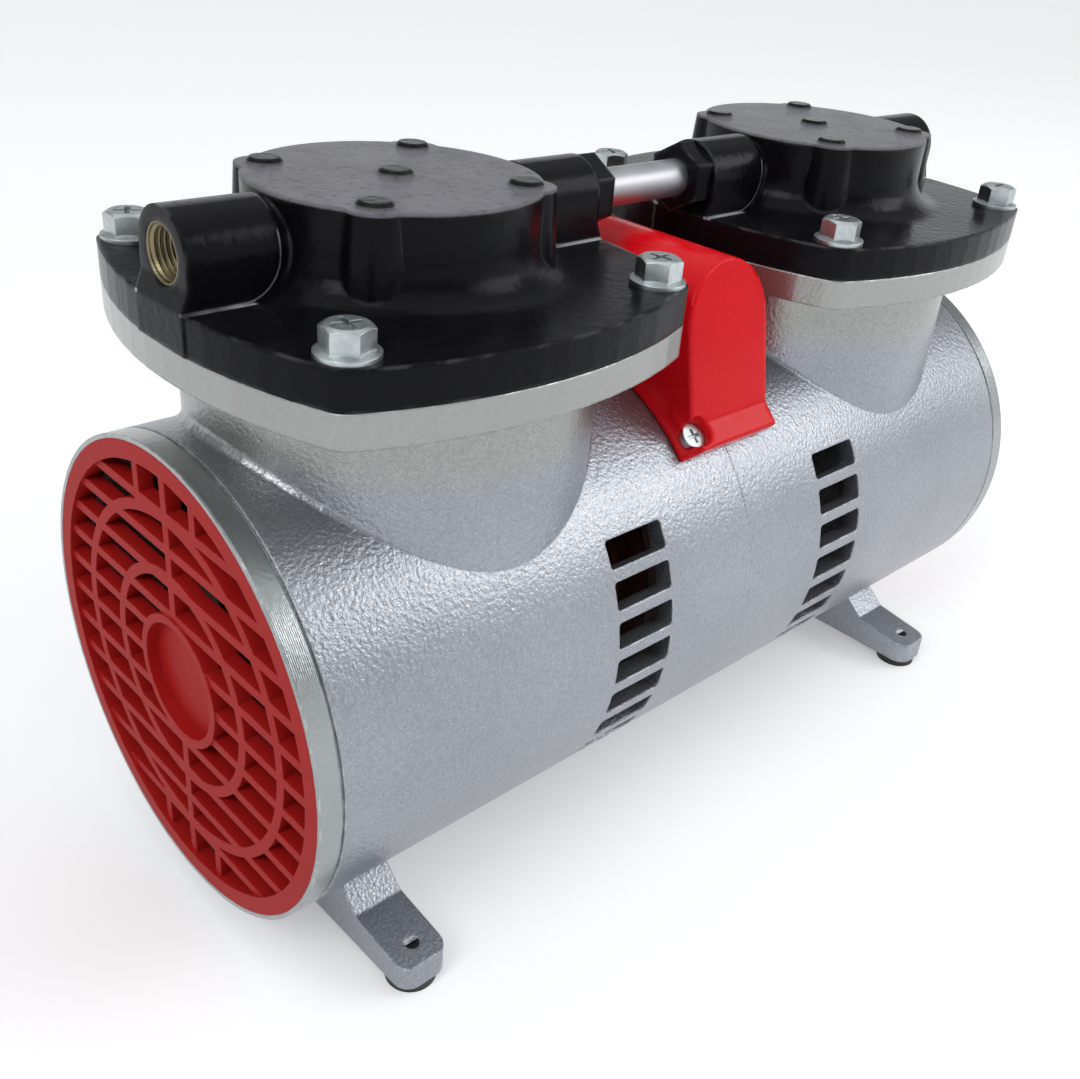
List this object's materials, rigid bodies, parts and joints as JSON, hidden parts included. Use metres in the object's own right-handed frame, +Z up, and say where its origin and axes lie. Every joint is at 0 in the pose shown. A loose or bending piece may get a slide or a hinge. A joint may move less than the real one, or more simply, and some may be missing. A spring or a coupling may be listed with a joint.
{
  "type": "diaphragm vacuum pump",
  "caption": "Oil free vacuum pump: an electric motor in a round casting with a diaphragm head on each end, joined by a tube, on cast feet.",
  "frame": {"origin": "middle of the body, on the surface that the rubber feet stand on", "axes": "+X along the motor shaft from the intake end to the outlet end, +Z up"},
  "size_m": [0.31, 0.137, 0.2004],
  "materials": {
    "silver_paint": "aluminium coloured paint with a fine grain",
    "black_paint": "gloss black paint on a slightly rough casting",
    "red_gloss": "glossy moulded plastic",
    "red_matt": "satin moulded plastic",
    "zinc_plate": "bright zinc plating",
    "machined_steel": "turned and ground steel",
    "core_steel": "stacked laminations",
    "weight_iron": "machined casting",
    "bare_aluminium": "drawn or die cast metal",
    "port_brass": "machined thread",
    "copper_wire": "varnished winding",
    "black_rubber": "moulded rubber",
    "black_plastic": "moulded plastic"
  },
  "bodies": {
    "casing": {"front_housing": "silver_paint", "rear_housing": "silver_paint", "front_grille": "red_matt", "rear_grille": "red_matt", "front_head": "black_paint", "rear_head": "black_paint", "front_head_bolts": "zinc_plate", "rear_head_bolts": "zinc_plate", "front_port_bush": "port_brass", "rear_port_bush": "port_brass", "front_valve_plate": "bare_aluminium", "rear_valve_plate": "bare_aluminium", "valve_gaskets": "black_rubber", "valve_screws": "zinc_plate", "valve_guides": "machined_steel", "front_diaphragm": "black_rubber", "rear_diaphragm": "black_rubber", "stator_core": "core_steel", "stator_winding": "copper_wire", "front_outer_race": "machined_steel", "front_balls": "machined_steel", "rear_outer_race": "machined_steel", "rear_balls": "machined_steel", "tie_bolts": "zinc_plate", "transfer_tube": "bare_aluminium", "tube_nuts": "black_paint", "tube_ferrules": "port_brass", "terminal_cover": "red_gloss", "cover_screws": "zinc_plate", "run_capacitor": "bare_aluminium", "capacitor_cradle": "black_plastic", "lead_grommet": "black_rubber", "cable_gland": "black_plastic", "rubber_feet": "black_rubber"},
    "motor_shaft": {"shaft": "machined_steel", "rotor_core": "core_steel", "rotor_cage": "bare_aluminium", "front_inner_race": "machined_steel", "rear_inner_race": "machined_steel", "front_fan": "black_plastic", "rear_fan": "black_plastic", "front_eccentric": "weight_iron", "rear_eccentric": "weight_iron", "set_screws": "machined_steel", "front_rod_inner_race": "machined_steel", "rear_rod_inner_race": "machined_steel"},
    "front_drive": {"front_rod": "bare_aluminium", "front_rod_outer_race": "machined_steel", "front_rod_balls": "machined_steel", "front_clamp_disc": "bare_aluminium", "front_clamp_screw": "zinc_plate"},
    "rear_drive": {"rear_rod": "bare_aluminium", "rear_rod_outer_race": "machined_steel", "rear_rod_balls": "machined_steel", "rear_clamp_disc": "bare_aluminium", "rear_clamp_screw": "zinc_plate"},
    "front_intake_valve": {"front_intake_disc": "black_rubber"},
    "front_exhaust_valve": {"front_exhaust_disc": "black_rubber"},
    "rear_intake_valve": {"rear_intake_disc": "black_rubber"},
    "rear_exhaust_valve": {"rear_exhaust_disc": "black_rubber"}
  },
  "joints": [
    {"name": "shaft_spin", "type": "hinge", "parent": "casing", "child": "motor_shaft", "pos_m": [0, 0, 0.0765], "axis": [1, 0, 0], "continuous": true},
    {"name": "front_rod_turn", "type": "hinge", "parent": "motor_shaft", "child": "front_drive", "pos_m": [-0.087, 0, 0.0795], "axis": [1, 0, 0], "continuous": true, "deforming": ["front_diaphragm"]},
    {"name": "rear_rod_turn", "type": "hinge", "parent": "motor_shaft", "child": "rear_drive", "pos_m": [0.087, 0, 0.0735], "axis": [1, 0, 0], "continuous": true, "deforming": ["rear_diaphragm"]},
    {"name": "front_intake_lift", "type": "slide", "parent": "casing", "child": "front_intake_valve", "axis": [0, 0, -1], "range_m": [0, 0.0008], "stiffness_N_per_m": 20},
    {"name": "front_exhaust_lift", "type": "slide", "parent": "casing", "child": "front_exhaust_valve", "axis": [0, 0, 1], "range_m": [0, 0.0008], "stiffness_N_per_m": 20},
    {"name": "rear_intake_lift", "type": "slide", "parent": "casing", "child": "rear_intake_valve", "axis": [0, 0, -1], "range_m": [0, 0.0008], "stiffness_N_per_m": 20},
    {"name": "rear_exhaust_lift", "type": "slide", "parent": "casing", "child": "rear_exhaust_valve", "axis": [0, 0, 1], "range_m": [0, 0.0008], "stiffness_N_per_m": 20}
  ],
  "couplings": [
    {"joint": "front_rod_turn", "follows": "shaft_spin", "ratio": -1},
    {"joint": "rear_rod_turn", "follows": "shaft_spin", "ratio": -1}
  ]
}
